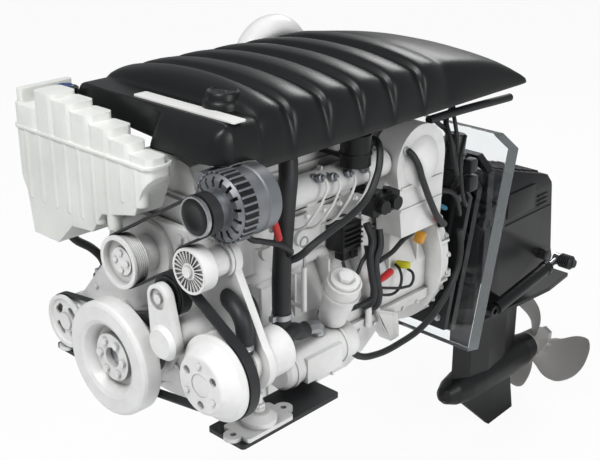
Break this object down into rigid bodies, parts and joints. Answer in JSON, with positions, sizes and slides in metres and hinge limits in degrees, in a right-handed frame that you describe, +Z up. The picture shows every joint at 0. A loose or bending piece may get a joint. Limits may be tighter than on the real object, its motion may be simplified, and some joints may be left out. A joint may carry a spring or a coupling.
{
  "type": "inboard marine engine",
  "caption": "Straight marine diesel with belt-driven pumps, ribbed top cover and soft front mounts, joined through a clear transom board to a steering and tilting outdrive.",
  "frame": {"origin": "on the crankshaft axis where it crosses the forward face of the transom board", "axes": "+X to the bow along the crankshaft, +Y to port, +Z up"},
  "size_m": [1.769, 0.7328, 1.367],
  "materials": {
    "white_paint": "satin white engine enamel",
    "cover_plastic": "moulded black, semi-matt",
    "label_plastic": "plain strip",
    "tank_plastic": "translucent white polypropylene",
    "cap_plastic": "black with a blue top",
    "cast_aluminium": "bare die casting",
    "bare_steel": "machined",
    "black_plastic": "moulded",
    "black_paint": "satin black marine paint",
    "hose_rubber": "smooth rubber",
    "dipstick_plastic": "yellow pull ring",
    "anode_metal": "cast alloy",
    "propeller_metal": "cast, grey finish",
    "clear_acrylic": "polished clear sheet"
  },
  "bodies": {
    "root": {"engine_block": "white_paint", "cylinder_head": "white_paint", "rocker_cover": "white_paint", "oil_pan": "white_paint", "front_gear_cover": "white_paint", "bell_housing": "white_paint", "engine_cover": "cover_plastic", "cover_label": "label_plastic", "coolant_tank": "tank_plastic", "intake_manifold": "white_paint", "charge_duct": "white_paint", "exhaust_riser": "white_paint", "heat_exchanger": "white_paint", "alternator_body": "cast_aluminium", "alternator_bracket": "white_paint", "idler_bracket": "white_paint", "tensioner_base": "cast_aluminium", "raw_water_pump": "white_paint", "steering_pump": "black_paint", "long_belt": "hose_rubber", "steering_belt": "hose_rubber", "oil_filter": "white_paint", "oil_cooler": "white_paint", "starter_motor": "black_paint", "relay_box": "black_plastic", "oil_separator": "black_plastic", "dipstick_tube": "bare_steel", "hoses": "hose_rubber", "hose_clamps": "bare_steel", "front_mounts": "white_paint", "mount_pads": "black_paint", "transom_board": "clear_acrylic", "inner_transom_plate": "black_paint", "gimbal_housing": "black_paint", "bellows": "hose_rubber", "bolts": "bare_steel"},
    "crank": {"crankshaft": "bare_steel", "flywheel": "bare_steel", "drive_shaft": "bare_steel", "crank_pulley": "white_paint", "crank_damper": "white_paint"},
    "water_pump": {"water_pump_pulley": "white_paint"},
    "alternator": {"alternator_pulley": "bare_steel"},
    "idler": {"idler_pulley": "black_plastic"},
    "tensioner": {"tensioner_arm": "cast_aluminium"},
    "tensioner_wheel": {"tensioner_pulley": "black_plastic"},
    "raw_water": {"raw_water_pulley": "white_paint"},
    "steering_drive": {"steering_pulley": "white_paint"},
    "cap": {"tank_cap": "cap_plastic"},
    "stick": {"dipstick": "dipstick_plastic"},
    "gimbal": {"gimbal_ring": "black_paint"},
    "drive": {"drive_upper": "black_paint", "gearcase": "black_paint", "anode": "anode_metal"},
    "prop": {"propeller_shaft": "bare_steel", "propeller": "propeller_metal"},
    "port_barrel": {"port_trim_barrel": "black_paint"},
    "port_rod": {"port_trim_rod": "bare_steel"},
    "starboard_barrel": {"starboard_trim_barrel": "black_paint"},
    "starboard_rod": {"starboard_trim_rod": "bare_steel"}
  },
  "joints": [
    {"name": "crank_spin", "type": "hinge", "parent": "root", "child": "crank", "pos_m": [0.938, 0, 0], "axis": [1, 0, 0], "continuous": true},
    {"name": "water_pump_spin", "type": "hinge", "parent": "root", "child": "water_pump", "pos_m": [0.938, 0.008, 0.208], "axis": [1, 0, 0], "continuous": true},
    {"name": "alternator_spin", "type": "hinge", "parent": "root", "child": "alternator", "pos_m": [0.938, 0.25, 0.371], "axis": [1, 0, 0], "continuous": true},
    {"name": "idler_spin", "type": "hinge", "parent": "root", "child": "idler", "pos_m": [0.938, 0.22, 0.252], "axis": [1, 0, 0], "continuous": true},
    {"name": "tensioner_swing", "type": "hinge", "parent": "root", "child": "tensioner", "pos_m": [0.938, 0.163, 0.091], "axis": [1, 0, 0], "range_deg": [0, 6], "stiffness_Nm_per_rad": 60, "springref_deg": -5.73, "deforming": ["long_belt"]},
    {"name": "tensioner_wheel_spin", "type": "hinge", "parent": "tensioner", "child": "tensioner_wheel", "pos_m": [0.938, 0.15047, 0.18012], "axis": [1, 0, 0], "continuous": true},
    {"name": "raw_water_spin", "type": "hinge", "parent": "root", "child": "raw_water", "pos_m": [0.938, 0.288, 0.052], "axis": [1, 0, 0], "continuous": true},
    {"name": "steering_pump_spin", "type": "hinge", "parent": "root", "child": "steering_drive", "pos_m": [0.903, -0.262, -0.032], "axis": [1, 0, 0], "continuous": true},
    {"name": "cap_turn", "type": "hinge", "parent": "root", "child": "cap", "pos_m": [0.852, -0.286, 0.472], "axis": [0, 0, 1], "range_deg": [0, 90]},
    {"name": "dipstick_pull", "type": "slide", "parent": "root", "child": "stick", "axis": [0, 0, 1], "range_m": [0, 0.15]},
    {"name": "steer", "type": "hinge", "parent": "root", "child": "gimbal", "pos_m": [-0.185, 0, 0], "axis": [0, 0, 1], "range_deg": [-28, 28], "deforming": ["bellows"]},
    {"name": "tilt", "type": "hinge", "parent": "gimbal", "child": "drive", "pos_m": [-0.185, 0, 0], "axis": [0, 1, 0], "range_deg": [-4, 45], "deforming": ["bellows"]},
    {"name": "prop_spin", "type": "hinge", "parent": "drive", "child": "prop", "pos_m": [-0.698, 0, -0.6], "axis": [1, 0, 0], "continuous": true},
    {"name": "port_barrel_swing", "type": "hinge", "parent": "gimbal", "child": "port_barrel", "pos_m": [-0.187, 0.158, -0.257], "axis": [0, 1, 0], "range_deg": [-4, 36]},
    {"name": "port_rod_slide", "type": "slide", "parent": "port_barrel", "child": "port_rod", "axis": [-0.9869, 0, 0.1615], "range_m": [-0.02, 0.185]},
    {"name": "starboard_barrel_swing", "type": "hinge", "parent": "gimbal", "child": "starboard_barrel", "pos_m": [-0.187, -0.158, -0.257], "axis": [0, 1, 0], "range_deg": [-4, 36]},
    {"name": "starboard_rod_slide", "type": "slide", "parent": "starboard_barrel", "child": "starboard_rod", "axis": [-0.9869, 0, 0.1615], "range_m": [-0.02, 0.185]}
  ],
  "couplings": [
    {"joint": "water_pump_spin", "follows": "crank_spin", "ratio": 1.4237},
    {"joint": "alternator_spin", "follows": "crank_spin", "ratio": 2.0867},
    {"joint": "idler_spin", "follows": "crank_spin", "ratio": -1.6578},
    {"joint": "tensioner_wheel_spin", "follows": "crank_spin", "ratio": -1.891},
    {"joint": "raw_water_spin", "follows": "crank_spin", "ratio": 0.9098},
    {"joint": "steering_pump_spin", "follows": "crank_spin", "ratio": 1.0319},
    {"joint": "port_barrel_swing", "follows": "tilt", "ratio": 0.744},
    {"joint": "port_rod_slide", "follows": "tilt", "m_per_rad": 0.2267},
    {"joint": "starboard_barrel_swing", "follows": "tilt", "ratio": 0.744},
    {"joint": "starboard_rod_slide", "follows": "tilt", "m_per_rad": 0.2267}
  ]
}
